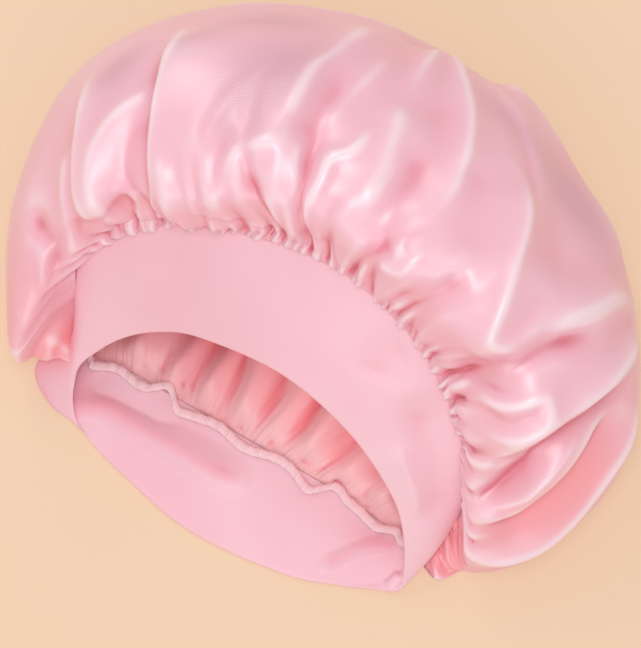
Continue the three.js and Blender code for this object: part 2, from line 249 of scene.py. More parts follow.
# Folds of the crown. Columns: the path as (angle, share) pairs, share running from 0 at the
# seam to 1 at the far end, the widths to the left and right of the path, the height out of
# the cloth, negative for a crease, and how far the crest leans over its narrower side.
FOLDS = [
    # the upper lobe's lip on the right, and the step down from it
    ([(30, .10), (34, .15), (38, .20), (41, .30), (40, .39), (37, .48), (29, .57), (21, .66)],
     18, 6, 6, 4),
    ([(20, .08), (26, .13), (29, .19), (33, .27), (33, .35), (31, .43), (27, .51), (20, .59)],
     6, 14, -13, 0),
    # the second lobe under it, and the step down to the ring that lies on the ground
    ([(24, .13), (25, .18), (26, .24), (28, .30), (29, .37), (29, .44)], 7, 5, 5, 3),
    ([(17, .12), (18, .18), (18, .23), (20, .29), (21, .37), (22, .45), (20, .53)], 5, 15, -11, 0),
    # the ring's crest
    ([(11, .07), (9, .14), (8, .20), (8, .27), (10, .35), (13, .43), (14, .50), (15, .58)],
     7, 9, 7, 0),
    # the left lobe
    ([(156, .49), (150, .45), (146, .39), (145, .33), (148, .21), (154, .07)], 30, 5, 5.4, 2),
    ([(149, .40), (149, .35), (150, .31), (153, .19), (158, .04)], 6, 9, 3.4, 0),
    # the panel beside it
    ([(131, .46), (134, .43), (138, .40), (140, .36), (141, .32), (146, .14),
      (148, .01)], 9, 7, 4.1, 0),
    ([(129, .43), (132, .38), (134, .32), (141, .18), (143, .04)], 12, 8, -3.9, 0),
    ([(134, .28), (137, .14), (139, .01)], 4, 4, 2.7, 0),
    ([(128, .36), (128, .29), (134, .01)], 5, 4, 2.7, 0),
    ([(125, .35), (124, .29), (128, .07)], 4, 5, 2.7, 0),
    # the wide puff left of the middle
    ([(143, .58), (135, .53), (130, .47), (128, .42), (127, .36), (127, .30), (129, .20),
      (129, .02)], 60, 4, 7.5, 3),
    ([(118, .40), (117, .33), (118, .25), (120, .02)], 7, 7, 2.7, 0),
    ([(118, .17), (114, .28), (112, .33), (110, .36), (107, .38), (105, .39),
      (103, .36)], 7, 9, 3.4, 0),
    ([(112, .41), (113, .35), (115, .27), (118, .11)], 7, 7, -2.2, 0),
    ([(107, .33), (109, .26), (111, .11)], 8, 8, -3.3, 0),
    # the ridges and valleys that fan out of the middle of the seam
    ([(122, .78), (113, .69), (109, .62), (107, .55), (105, .49), (104, .42),
      (104, .36)], 12, 16, 5.4, 0),
    ([(101, .45), (101, .39), (100, .33), (101, .25), (103, .04)], 5, 35, 6.1, 2),
    ([(106, .62), (102, .54), (101, .47), (100, .41), (99, .35), (100, .26),
      (103, .07)], 10, 8, -3.9, 0),
    ([(104, .70), (101, .61), (100, .55), (99, .48), (99, .43)], 6, 6, 2, 0),
    ([(94, .53), (94, .45), (96, .41), (96, .36), (97, .30), (99, .21), (102, .06)], 7, 7, 4.8, 0),
    ([(91, .39), (92, .30), (96, .12)], 6, 5, 2, 0),
    ([(89, .55), (88, .48), (88, .42), (88, .36), (88, .30), (88, .21)], 9, 10, -3, 0),
    ([(94, .61), (91, .50), (90, .42), (90, .32)], 12, 12, 3.4, 0),
    # the loop above the middle of the right half, and its hollow
    ([(93, .58), (96, .66), (100, .74), (104, .81), (97, .80), (89, .72), (85, .66), (83, .59),
      (82, .51), (82, .45), (81, .39)], 7, 9, 4.1, 0),
    ([(92, .68), (87, .57), (86, .48), (84, .41)], 12, 12, -1.8, 0),
    # what runs into the seam right of the middle
    ([(72, .40), (73, .36), (74, .30), (75, .21), (76, .12)], 7, 5, -3.9, 0),
    ([(80, .59), (78, .52), (76, .45), (74, .41)], 14, 12, -2.4, 0),
    ([(88, .07), (85, .21), (84, .24), (80, .27), (80, .32), (80, .39)], 6, 5, 2.7, 0),
    ([(84, .31), (83, .33), (82, .34)], 7, 7, 2.7, 0),
    # the great ridge on the right that turns back on itself
    ([(80, .60), (77, .62), (74, .64), (70, .62), (68, .56), (67, .47), (64, .40), (62, .35),
      (60, .33), (56, .36), (54, .40), (51, .48), (44, .56), (34, .62), (10, .69)], 10, 9, 5.4, 0),
    ([(86, .81), (77, .76), (71, .70), (68, .64), (67, .57)], 4, 25, -2.2, 0),
    ([(46, .86), (55, .72), (58, .59), (58, .47)], 26, 22, -5.5, 0),
    # the upper lobe's crease and the loops below it
    ([(56, .01), (55, .14), (56, .23), (56, .32), (54, .39), (51, .45), (43, .54)], 6, 9, -7.7, 0),
    ([(48, .11), (50, .17), (49, .24), (48, .30), (46, .36), (44, .36), (42, .34), (42, .29),
      (42, .18), (40, .14)], 6, 6, 4.1, 0),
    ([(38, .37), (37, .45), (34, .53), (26, .61)], 9, 8, 3.4, 0),
    # creases that draw the left lobe together at the band's corner
    ([(162, .34), (157, .28), (156, .19), (162, .07)], 8, 6, -5, 0),
    ([(190, .16), (188, .10), (186, .04)], 4, 4, -3, 0),
    ([(200, .16), (198, .10), (195, .05)], 4, 5, -3, 0),
    # the pleats of the lower layer, which stand up inside the open mouth
    ([(226, .00), (230, .10), (235, .21), (240, .33)], 12, 4, -8, 0),
    ([(242, .00), (246, .10), (250, .21), (253, .33)], 5, 4, -6, 0),
    ([(253, .00), (255, .10), (257, .21), (259, .33)], 7, 4, -8, 0),
    ([(266, .00), (263, .10), (261, .21), (260, .34)], 8, 4, -9, 0),
    ([(276, .00), (273, .09), (271, .19), (270, .30)], 5, 4, -6, 0),
    ([(286, .00), (281, .10), (278, .21), (276, .34)], 8, 4, -9, 0),
    ([(297, .00), (293, .09), (290, .19), (288, .30)], 7, 4, -7, 0),
    ([(309, .00), (304, .09), (300, .19), (297, .30)], 9, 5, -9, 0),
    # soft folds down the back, which the photo doesn't show
    ([(152, .62), (142, .74), (122, .84), (100, .90)], 16, 10, 2.5, 0),
    ([(28, .66), (30, .76), (50, .86), (90, .93)], 16, 10, 2.5, 0),
    ([(192, .60), (172, .72), (150, .84)], 14, 12, -5, 0),
    ([(2, .62), (10, .74), (20, .86)], 14, 12, -5, 0),
    ([(122, .78), (108, .86), (60, .93)], 12, 14, -4, 0),
    ([(78, .85), (62, .90), (30, .92)], 10, 14, 4, 0),
]
# Local moves of the crown. Columns: angle, share, how far the move reaches in angle and in
# share, and the move in x, y and z.
CROWN_NUDGES = [
    # the left lobe reaches over the band's corner
    (203, 0.11, 12, 0.07, 12, -13, 14),
    (190, 0.06, 13, 0.045, -1, -4, 12),
    (185, 0.12, 12, 0.06, 4, -7, 4),
    # the left side lies a little further in
    (150, 0.38, 28, 0.22, 4, 2, -1),
    # beside the band's right corner the cloth spreads out on the ground
    (336, 0.07, 15, 0.06, 8, -18, 6),
    # beside the front the crown rises straight away from the seam
    (145, 0.15, 18, 0.12, -10, 40, 6),
    (105, 0.13, 20, 0.11, 5, 10, 0),
    (50, 0.15, 24, 0.12, -2, 19, 0),
]
NUDGE_HOLD = 0.06       # the moves rise from nothing over this share from the seam

# Where painted coral bounce light and shade lie on the crown's satin, as if light came up from the
# floor and through the cloth into its undersides and hollows. Columns: angle, share, the two
# reaches, how much.
PAINTED_BOUNCE_SPOTS = [
    (17, 0.33, 9, 0.18, 1.0),
    (350, 0.05, 14, 0.08, 1.0),
    (178, 0.2, 26, 0.16, 0.5),
    (196, 0.05, 10, 0.08, 0.8),
    (250, 0.22, 13, 0.14, 1.0),
]

# Where the satin turns away from the light and looks mauve, with its twill lines showing: painted
# shade. The columns are those of the spots of painted coral bounce light.
SHADES = [
    (112, 0.50, 8, 0.12, 1.0),
    (131, 0.50, 4, 0.10, 0.6),
    (144, 0.48, 6, 0.05, 0.8),
    (128, 0.65, 10, 0.05, 0.6),
    (78, 0.74, 12, 0.05, 0.5),
    (50, 0.71, 16, 0.07, 1.0),
]

# The band's folds, spots of painted shade and local moves, in the same columns as the crown's. The
# share runs from 0 at the rim to 1 at the seam.
BAND_FOLDS = [
    # the lower band's long soft fold beside the elastic
    ([(206, .95), (212, .78), (222, .54), (237, .52), (254, .56), (270, .60), (285, .66)],
     10, 12, -7, 0),
    ([(216, .85), (226, .72), (241, .78), (252, .86)], 10, 9, 5, 0),
    # the crease at the lower band's right end, and the tuck in its corner
    ([(334, .95), (328, .87), (317, .56), (310, .21), (306, .04)], 7, 4, -5, 0),
    ([(338, .02), (341, .18), (344, .30)], 3, 3, -4, 0),
    # the front's dent, and the hollow that runs down its right side
    ([(66, .95), (70, .72), (69, .45)], 14, 12, -3, 0),
    ([(58, .80), (46, .58), (34, .56), (22, .56), (10, .50)], 15, 11, -5, 0),
    ([(54, .30), (38, .25), (24, .24)], 8, 8, 3, 0),
]
# spots of painted shade on the band, in its soft folds and dents
BAND_PAINTED_SHADE_SPOTS = [
    (206, 0.7, 14, 0.4, 0.9),
    (226, 0.5, 18, 0.2, 0.7),
    (318, 0.75, 12, 0.2, 0.6),
    (70, 0.75, 7, 0.2, 0.25),
    (38, 0.6, 16, 0.14, 0.3),
    (190, 0.4, 14, 0.3, 0.5),
]
BAND_NUDGES = [
    # its left side bulges out under the left lobe
    (202, 0.5, 9, 0.5, -18, -7, 0),
    (214, 0.45, 9, 0.4, -7, -12, 0),
]


def smooth(value):
    """0 below 0, 1 above 1 and a soft step between."""
    value = np.clip(value, 0, 1)
    return value * value * (3 - 2 * value)


def unit(vectors):
    """The same directions with a length of one."""
    return vectors / np.maximum(np.linalg.norm(vectors, axis=-1, keepdims=True), TINY)


def closed_curve(rows, angles):
    """A closed smooth curve through rows of angle, x, y, z, at angles in degrees."""
    table = np.array(rows, float)
    places, points = table[:, 0], table[:, 1:]
    count = len(rows)
    turned = np.mod(angles, 360)
    first = np.mod(np.searchsorted(places, turned, side="right") - 1, count)
    second = np.mod(first + 1, count)
    before = np.roll(np.arange(count), 1)
    after = np.roll(np.arange(count), -1)
    apart = np.mod(places[after] - places[before], 360)
    slopes = (points[after] - points[before]) / apart[:, None]
    step = np.mod(places[second] - places[first], 360)[..., None]
    u = np.mod(turned - places[first], 360)[..., None] / step
    return (
        (2 * u**3 - 3 * u**2 + 1) * points[first]
        + (u**3 - 2 * u**2 + u) * step * slopes[first]
        + (3 * u**2 - 2 * u**3) * points[second]
        + (u**3 - u**2) * step * slopes[second]
    )


def section(row, angles):
    """The points of one section of the crown, at angles in degrees."""
    left_x, left_y, left_z, right_x, right_y, right_z, top_y, top_z, low_y, low_z, power = row
    c = np.cos(np.radians(angles))
    s = np.sin(np.radians(angles))
    above = s > 0
    to_right = smooth(0.5 + 0.5 * c)
    side_y = left_y + (right_y - left_y) * to_right
    side_z = left_z + (right_z - left_z) * to_right
    x = np.where(c > 0, right_x, left_x) * np.abs(c) ** power
    y = side_y + (np.where(above, top_y, low_y) - side_y) * np.where(above, s * s, -s)
    rise = np.abs(s) ** np.where(above, power, power * FLAT_UNDER)
    z = side_z + (np.where(above, top_z, low_z) - side_z) * rise
    return np.stack([x, y, z], -1)


def through(points, shares):
    """A smooth curve through evenly spaced points, at shares from 0 to 1."""
    points = np.asarray(points, float)
    last = len(points) - 1
    at = np.clip(shares, 0, 1) * last
    i = np.minimum(at.astype(int), last - 1)
    u = (at - i).reshape(-1, *([1] * (points.ndim - 1)))
    padded = np.concatenate(
        [[2 * points[0] - points[1]], points, [2 * points[-1] - points[-2]]]
    )
    p0, p1, p2, p3 = (padded[i + k] for k in range(4))
    return 0.5 * (
        2 * p1 + (p2 - p0) * u + (2 * p0 - 5 * p1 + 4 * p2 - p3) * u**2
        + (3 * p1 - p0 - 3 * p2 + p3) * u**3
    )


def nudge(angles, shares, rows):
    """The local moves in a table, for each point of a grid."""
    moves = np.zeros((len(shares), len(angles), 3))
    for angle, share, angle_reach, share_reach, *move in rows:
        round_it = (np.mod(angles - angle + 180, 360) - 180) / angle_reach
        along_it = (np.asarray(shares) - share) / share_reach
        weight = np.exp(-(round_it**2))[None, :] * np.exp(-(along_it**2))[:, None]
        moves += weight[..., None] * np.array(move)
    return moves


def crown_base(angles, shares):
    """The crown without its folds, as a grid with a row for each share."""
    end = np.broadcast_to(np.array(FAR_END, float), (len(angles), 3))
    rings = [closed_curve(SEAM, angles)] + [section(row, angles) for row in SECTIONS] + [end]
    held = smooth(np.asarray(shares) / NUDGE_HOLD)[:, None, None]
    return through(np.stack(rings), shares) + nudge(angles, shares, CROWN_NUDGES) * held


def band_base(angles, shares):
    """The band's surface as a grid, from 0 at the rim to 1 at the seam."""
    mix = np.asarray(shares, float).reshape(-1, 1, 1)
    return closed_curve(RIM, angles) * (1 - mix) + closed_curve(SEAM, angles) * mix


def outward(grid):
    """Directions out of a grid whose columns run round the mouth and rows away from the rim."""
    around = np.roll(grid, -1, 1) - np.roll(grid, 1, 1)
    along = np.gradient(grid, axis=0)
    return unit(np.cross(along, around))


def fold_profile(share, height):
    """A fold's cross-section: a ridge with a crest, or a soft crease."""
    if height < 0:
        return np.exp(-(share**2))
    ridge = np.exp(CREST_FALL * (CREST - np.sqrt(share**2 + CREST**2)))
    return ridge * smooth((FOLD_REACH - share) / FOLD_FADE)


def beside_path(points, out, line):
    """Each point's distance from a path, how much of it is to the right, the share of the path
    at its nearest place, and the direction that is to the right there."""
    nearest = np.full(len(points), np.inf)
    side = np.zeros(len(points))
    along = np.zeros(len(points))
    across = np.zeros((len(points), 3))
    steps = np.diff(line, axis=0)
    lengths = np.maximum(np.linalg.norm(steps, axis=1), TINY)
    run = np.concatenate([[0], np.cumsum(lengths)])
    for k in range(len(steps)):
        ahead = steps[k] / lengths[k]
        offset = points - line[k]
        u = np.clip(offset @ ahead, 0, lengths[k])
        offset = offset - u[:, None] * ahead
        distance = np.linalg.norm(offset, axis=1)
        to_right = np.cross(ahead, out)
        closer = distance < nearest
        nearest[closer] = distance[closer]
        along[closer] = (run[k] + u[closer]) / run[-1]
        side[closer] = np.einsum("ij,ij->i", offset, to_right)[closer]
        across[closer] = to_right[closer]
    return nearest, side, along, across


def fold_lift(grid, normals, folds, base):
    """How far the folds move each point of a grid."""
    flat = grid.reshape(-1, 3)
    out = normals.reshape(-1, 3)
    moves = np.zeros_like(flat)
    for path, left, right, height, lean in folds:
        laid = through(path, np.linspace(0, 1, PATH_STEPS))
        line = np.array([base(np.array([a]), np.array([t]))[0, 0] for a, t in laid])
        line[:, 2] = np.maximum(line[:, 2], 0)
        reach = FOLD_REACH * max(left, right)
        near = (flat > line.min(0) - reach) & (flat < line.max(0) + reach)
        chosen = np.where(near.all(1))[0]
        nearest, side, along, across = beside_path(flat[chosen], out[chosen], line)
        on_right = smooth(0.5 + 0.5 * side / np.maximum(nearest, TINY))
        profile = fold_profile(nearest / (left + (right - left) * on_right), height)
        profile *= smooth(along / FOLD_ENDS) * smooth((1 - along) / FOLD_ENDS)
        moves[chosen] += out[chosen] * (height * profile)[:, None]
        lean_right = lean if right < left else -lean
        moves[chosen] += across * (lean_right * profile)[:, None]
    return moves.reshape(grid.shape)


def gather_lift(angles, from_seam):
    """The creases and puffs that gathering leaves beside the seam."""
    rng = np.random.default_rng(GATHER_SEED)
    turn = np.linspace(0, 360, 721)
    steps = np.linalg.norm(np.diff(closed_curve(SEAM, turn), axis=0), axis=1)
    run = np.concatenate([[0], np.cumsum(steps)])
    places = np.interp(np.mod(angles, 360), turn, run)
    total = run[-1]
    lift = SEAM_PUFF * np.exp(-((from_seam / PUFF_LENGTH) ** 2))
    lift = lift * np.clip(from_seam / PUFF_START, 0, 1)
    for count, depths, widths, lengths, slant, ends in GATHERS:
        first, last = np.interp(ends, turn, run)
        spacing = (last - first) / count
        for k in range(count):
            centre = first + spacing * (k + 0.5 + rng.uniform(-GATHER_STRAY, GATHER_STRAY))
            depth, width, length = (rng.uniform(*span) for span in (depths, widths, lengths))
            here = places[None, :] - centre - rng.uniform(-slant, slant) * from_seam
            apart = np.abs(np.mod(here + total / 2, total) - total / 2)
            fading = np.exp(-((from_seam / length) ** GATHER_POWER))
            fading = fading * smooth(from_seam / GATHER_HOLD)
            spread = width * (1 + from_seam / GATHER_SPREAD)
            lift = lift - depth * np.exp(-((apart / spread) ** 2)) * fading
    return lift


def soft_spots(angles, shares, rows):
    """A table's soft spots, as one number for each point of a grid."""
    spots = np.zeros((len(shares), len(angles)))
    for *place, amount in rows:
        spots += nudge(angles, shares, [(*place, amount, 0, 0)])[..., 0]
    return spots


def levelled(grid, rounds):
    """A grid after rounds of smoothing."""
    for _ in range(rounds):
        padded = np.concatenate([grid[:1], grid, grid[-1:]])
        beside = np.roll(grid, 1, 1) + np.roll(grid, -1, 1)
        grid = (beside + padded[:-2] + padded[2:] + 2 * grid) / 6
    return grid


def crest_of(grid, normals, rounds):
    """How much a grid stands out of its surroundings, in millimetres."""
    return np.einsum("ijk,ijk->ij", grid - levelled(grid, rounds), normals)


def new_object(name, points, faces, material_of_face=None):
    """A smooth mesh in the frame, from points in millimetres."""
    mesh = bpy.data.meshes.new(name)
    mesh.from_pydata(((points + MOUTH) * MM).tolist(), [], faces)
    mesh.polygons.foreach_set("use_smooth", [True] * len(mesh.polygons))
    if material_of_face is not None:
        mesh.polygons.foreach_set("material_index", material_of_face)
    mesh.update()
    made = bpy.data.objects.new(name, mesh)
    bpy.context.scene.collection.objects.link(made)
    return made


def add_attribute(piece, name, values):
    """A number on each vertex, for the piece's material."""
    piece.data.attributes.new(name, "FLOAT", "POINT").data.foreach_set("value", values)


def quads(rows, columns, start=0, flip=False):
    """Faces between the rows of a grid whose columns close on themselves."""
    i, j = np.meshgrid(np.arange(rows - 1), np.arange(columns), indexing="ij")
    k = (j + 1) % columns
    corners = [i * columns + j, (i + 1) * columns + j, (i + 1) * columns + k, i * columns + k]
    if flip:
        corners.reverse()
    return np.stack(corners, -1).reshape(-1, 4) + start


def seam_strip(start):
    """Faces that join the outer layer's first ring to the inner layer's, with half its points."""
    faces = []
    for j in range(0, CROWN_COLUMNS, 2):
        a, b, c = j, j + 1, (j + 2) % CROWN_COLUMNS
        first = start + j // 2
        second = start + (j // 2 + 1) % (CROWN_COLUMNS // 2)
        faces += [(a, b, first), (b, second, first), (b, c, second)]
    return faces


def end_fan(first, columns, centre, flip):
    """Faces from the last ring of a layer to its middle point."""
    ring = [first + j for j in range(columns)]
    if flip:
        ring.reverse()
    return [(ring[j - 1], centre, ring[j]) for j in range(columns)]


def crown_places():
    """The angles of the crown's columns and the shares of its rows."""
    steps = np.linspace(0, 360, CROWN_COLUMNS, endpoint=False)
    angles = steps - np.degrees(TOP_COLUMNS) * np.sin(np.radians(steps - TOP_ANGLE))
    rows = np.linspace(0, 1, CROWN_ROWS)
    shares = EVEN_ROWS * rows + (1 - EVEN_ROWS) * rows**ROW_POWER
    return angles, shares * LAST_SHARE


def crown_faces(inner_rows, inner_columns):
    """The faces of the outer layer, and those of the inner layer and the strip at the seam."""
    outer_count = CROWN_ROWS * CROWN_COLUMNS
    middle = outer_count + inner_rows * inner_columns
    outer_faces = quads(CROWN_ROWS, CROWN_COLUMNS).tolist()
    outer_faces += end_fan(outer_count - CROWN_COLUMNS, CROWN_COLUMNS, middle, False)
    inner_faces = quads(inner_rows, inner_columns, outer_count, flip=True).tolist()
    inner_faces += end_fan(middle - inner_columns, inner_columns, middle + 1, True)
    inner_faces += seam_strip(outer_count)
    return outer_faces, inner_faces


def seam_circle(ring):
    """Each column's place on a circle as long as the seam, on which the wrinkles close."""
    steps = np.linalg.norm(np.roll(ring, -1, 0) - ring, axis=1)
    turns = 2 * np.pi * np.cumsum(steps) / steps.sum()
    radius = steps.sum() / (2 * np.pi)
    return radius * np.cos(turns), radius * np.sin(turns)


def make_crown():
    """The crown, whose inner layer follows every other row and column of the outer one."""
    angles, shares = crown_places()
    base = crown_base(angles, shares)
    base[..., 2] = np.maximum(base[..., 2], 0)
    normals = outward(base)
    spans = np.linalg.norm(np.diff(base, axis=0), axis=2)
    from_seam = np.concatenate([np.zeros((1, CROWN_COLUMNS)), np.cumsum(spans, axis=0)])
    moves = levelled(fold_lift(base, normals, FOLDS, crown_base), FOLD_ROUNDS)
    moves = moves * smooth(from_seam / SEAM_HOLD)[..., None]
    outer = base + moves + normals * gather_lift(angles, from_seam)[..., None]
    outer[..., 2] = np.maximum(outer[..., 2], 0)
    inner = (outer - normals * CROWN_CLOTH)[::2, ::2]
    inner[..., 2] = np.maximum(inner[..., 2], CROWN_CLOTH / 2)
    end = np.array(FAR_END, float)
    ends = [end, end - [0, CROWN_CLOTH, 0]]
    points = np.concatenate([outer.reshape(-1, 3), inner.reshape(-1, 3), ends])
    outer_faces, inner_faces = crown_faces(*inner.shape[:2])
    materials = [0] * len(outer_faces) + [1] * len(inner_faces)
    crown = new_object("satin_crown", points, outer_faces + inner_faces, materials)
    turned = outward(outer)
    seam_x, seam_y = seam_circle(base[0])
    beside_lobe = np.minimum(np.abs(angles - LOBE_ANGLE) / LOBE_REACH, 1)
    # the crest and swell set the satin's painted highlight and shade, and the spots its painted
    # coral bounce light, painted shade and mauve painted shade
    for name, values in (
        ("gathered", smooth(1 - from_seam / WRINKLE_LENGTH) * smooth(beside_lobe)),
        ("crest", crest_of(outer, turned, FINE_CREST)),
        ("swell", crest_of(outer, turned, BROAD_CREST)),
        ("from_seam", from_seam),
        ("seam_x", np.broadcast_to(seam_x, from_seam.shape)),
        ("seam_y", np.broadcast_to(seam_y, from_seam.shape)),
        ("painted_bounce_shade", soft_spots(angles, shares, PAINTED_BOUNCE_SPOTS)),
        ("shade", soft_spots(angles, shares, SHADES)),
    ):
        both = [values.ravel(), values[::2, ::2].ravel(), values[-1, :2]]
        add_attribute(crown, name, np.concatenate(both))
    return crown


def make_band():
    """The band: an outer and an inner layer, joined round the folded rim."""
    angles = np.linspace(0, 360, BAND_COLUMNS, endpoint=False)
    shares = np.linspace(0, 1, BAND_ROWS)
    base = band_base(angles, shares)
    normals = outward(base)
    held = np.sin(np.pi * shares)[:, None, None]
    moves = fold_lift(base, normals, BAND_FOLDS, band_base)
    moves += nudge(angles, shares, BAND_NUDGES)
    outer = base + normals * BAND_BULGE * held + moves * held**BAND_HOLD
    outer[..., 2] = np.maximum(outer[..., 2], 0)
    inner = outer - normals * BAND_CLOTH
    inner[..., 2] = np.maximum(inner[..., 2], BAND_CLOTH)
    beyond = unit(outer[0] - outer[2])
    middle = (outer[0] + inner[0]) / 2
    across = (outer[0] - inner[0]) / 2
    edge = [
        middle + across * math.cos(turn) + beyond * BAND_CLOTH / 2 * math.sin(turn)
        for turn in np.linspace(0, math.pi, RIM_STEPS + 1)[1:-1]
    ]
    rings = np.concatenate([outer[::-1], np.stack(edge), inner])
    faces = quads(len(rings), BAND_COLUMNS, flip=True).tolist()
    band = new_object("satin_band", rings.reshape(-1, 3), faces)
    # the swell and the spots set the band's painted shade
    swell = crest_of(outer, outward(outer), BROAD_CREST)
    spots = soft_spots(angles, shares, BAND_PAINTED_SHADE_SPOTS)
    level = np.zeros((RIM_STEPS - 1, BAND_COLUMNS))
    for name, values in (("swell", swell), ("painted_bounce_shade", spots)):
        add_attribute(band, name, np.concatenate([values[::-1], level, values]).ravel())
    return band


def uneven_wave(turns, count, sway, swell):
    """A wave round a line whose crests stray and whose height varies on the way."""
    strays = sway[0] * np.sin(sway[1] * turns)
    height = 1 - swell[0] + swell[0] * np.sin(swell[1] * turns)
    return np.sin(round(count) * turns + strays) * height


def elastic_line(count):
    """The elastic's middle line, with its directions across to the rim and away from the band."""
    angles = np.linspace(0, 360, count, endpoint=False)
    grid = band_base(angles, [0.9, 0.95, 1.0])
    away = -outward(grid)[-1]
    to_rim = unit(grid[0] - grid[-1])
    line = grid[-1] + away * ELASTIC_DEPTH + to_rim * ELASTIC_INSET
    steps = np.linalg.norm(np.roll(line, -1, 0) - line, axis=1)
    length = steps.sum()
    turns = 2 * np.pi * np.concatenate([[0], np.cumsum(steps)[:-1]]) / length
    off = RUFFLE * uneven_wave(turns, length / RUFFLE_PITCH, RUFFLE_SWAY, RUFFLE_SWELL)
    aside = WAVE * uneven_wave(turns, length / WAVE_PITCH, WAVE_SWAY, WAVE_SWELL)
    for angle, reach, move in ELASTIC_TURNS:
        aside += move * np.exp(-(((angles - angle) / reach) ** 2))
    line = line + away * off[:, None] + to_rim * aside[:, None]
    line[:, 2] = np.maximum(line[:, 2], ELASTIC_WIDTH / 2 + ELASTIC_LIFT)
    return line, to_rim, away


def ring_tube(name, line, first, second, radii, sides):
    """A tube round a closed line, with a radius in each of two directions across it."""
    turns = np.linspace(0, 2 * np.pi, sides, endpoint=False)
    rings = (
        line[:, None]
        + first[:, None] * (radii[0] * np.cos(turns))[None, :, None]
        + second[:, None] * (radii[1] * np.sin(turns))[None, :, None]
    )
    faces = quads(len(line) + 1, sides) % (len(line) * sides)
    return new_object(name, rings.reshape(-1, 3), faces.tolist())


def make_elastic():
    """The narrow elastic that runs round the inside of the seam."""
    line, to_rim, away = elastic_line(ELASTIC_STEPS)
    radii = (ELASTIC_WIDTH / 2, ELASTIC_THICK / 2)
    return ring_tube("seam_elastic_cloth", line, to_rim, away, radii, ELASTIC_SIDES)


def make_thread():
    """The overlocking thread that winds round the elastic."""
    line, _, _ = elastic_line(ELASTIC_STEPS)
    length = np.linalg.norm(np.roll(line, -1, 0) - line, axis=1).sum()
    loops = round(length / THREAD_PITCH)
    count = loops * THREAD_STEPS
    line, to_rim, away = elastic_line(count)
    turns = 2 * np.pi * loops * np.arange(count) / count
    out = THREAD * THREAD_OUT
    path = (
        line
        + to_rim * ((ELASTIC_WIDTH / 2 + out) * np.cos(turns))[:, None]
        + away * ((ELASTIC_THICK / 2 + out) * np.sin(turns))[:, None]
    )
    ahead = unit(np.roll(path, -1, 0) - np.roll(path, 1, 0))
    side = unit(np.cross(ahead, path - line))
    up = np.cross(side, ahead)
    return ring_tube("overlock_thread", path, side, up, (THREAD, THREAD), THREAD_SIDES)


def linear(colour):
    """A colour given as 0 to 255 on a screen, in the renderer's own scale."""
    shares = [value / 255 for value in colour]
    return [s / 12.92 if s <= 0.04045 else ((s + 0.055) / 1.055) ** 2.4 for s in shares] + [1]


class Material:
    """A node material with one Principled shader."""

    def __init__(self, name, roughness, **numbers):
        self.material = bpy.data.materials.new(name)
        self.material.use_nodes = True
        self.nodes = self.material.node_tree.nodes
        self.links = self.material.node_tree.links
        self.shader = self.nodes["Principled BSDF"]
        self.shader.inputs["Roughness"].default_value = roughness
        for socket, value in numbers.items():
            self.shader.inputs[socket.replace("_", " ")].default_value = value

    def node(self, kind, **settings):
        made = self.nodes.new("ShaderNode" + kind)
        for key, value in settings.items():
            if key in made.inputs:
                made.inputs[key].default_value = value
            else:
                setattr(made, key, value)
        return made

    def join(self, source, target):
        self.links.new(source, target)

    def number(self, name):
        return self.node("Attribute", attribute_name=name).outputs["Fac"]

    def noise(self, scale, detail=2):
        coordinates = self.node("TexCoord").outputs["Object"]
        noise = self.node("TexNoise", Scale=scale, Detail=float(detail))
        self.join(coordinates, noise.inputs["Vector"])
        return noise.outputs["Fac"]

    def ramp(self, value, *stops):
        ramp = self.node("ValToRGB")
        elements = ramp.color_ramp.elements
        while len(elements) < len(stops):
            elements.new(0.5)
        for element, (place, colour) in zip(elements, stops):
            element.position = place
            element.color = linear(colour)
        self.join(value, ramp.inputs["Fac"])
        return ramp.outputs["Color"]

    def spread(self, value, low, high, to_low=0.0, to_high=1.0):
        mapped = self.node("MapRange", interpolation_type="SMOOTHSTEP")
        ends = {"From Min": low, "From Max": high, "To Min": to_low, "To Max": to_high}
        for key, number in ends.items():
            mapped.inputs[key].default_value = number
        self.join(value, mapped.inputs["Value"])
        return mapped.outputs["Result"]

    def mix(self, factor, first, second):
        mixed = self.node("Mix", data_type="RGBA")
        for place, value in ((0, factor), (6, first), (7, second)):
            if isinstance(value, tuple):
                mixed.inputs[place].default_value = linear(value)
            elif isinstance(value, float):
                mixed.inputs[place].default_value = value
            else:
                self.join(value, mixed.inputs[place])
        return mixed.outputs[2]

    def maths(self, operation, first, second=0.0):
        made = self.node("Math", operation=operation)
        for place, value in enumerate((first, second)):
            if isinstance(value, (int, float)):
                made.inputs[place].default_value = value
            else:
                self.join(value, made.inputs[place])
        return made.outputs[0]

    def wrinkles(self, strength):
        """Fine creases that run away from the seam and die out."""
        place = self.node("CombineXYZ")
        for axis, name, scale in (
            ("X", "seam_x", WRINKLES_ACROSS), ("Y", "seam_y", WRINKLES_ACROSS),
            ("Z", "from_seam", WRINKLES_ALONG),
        ):
            self.join(self.maths("MULTIPLY", self.number(name), scale), place.inputs[axis])
        noise = self.node("TexNoise", Scale=1.0, Detail=2.0)
        self.join(place.outputs[0], noise.inputs["Vector"])
        height = self.maths("MULTIPLY", noise.outputs["Fac"], self.number("gathered"))
        return self.bump(height, strength, WRINKLE_DEPTH)

    def bump(self, height, strength, distance, below=None):
        bump = self.node("Bump", Strength=strength, Distance=distance)
        self.join(height, bump.inputs["Height"])
        if below is not None:
            self.join(below, bump.inputs["Normal"])
        return bump.outputs["Normal"]

    def grain(self, scale_and_strength, below):
        """The cloth's finest roughness, over whatever bumps lie below it."""
        scale, strength = scale_and_strength
        return self.bump(self.noise(scale, 1), strength, GRAIN_DEPTH, below)


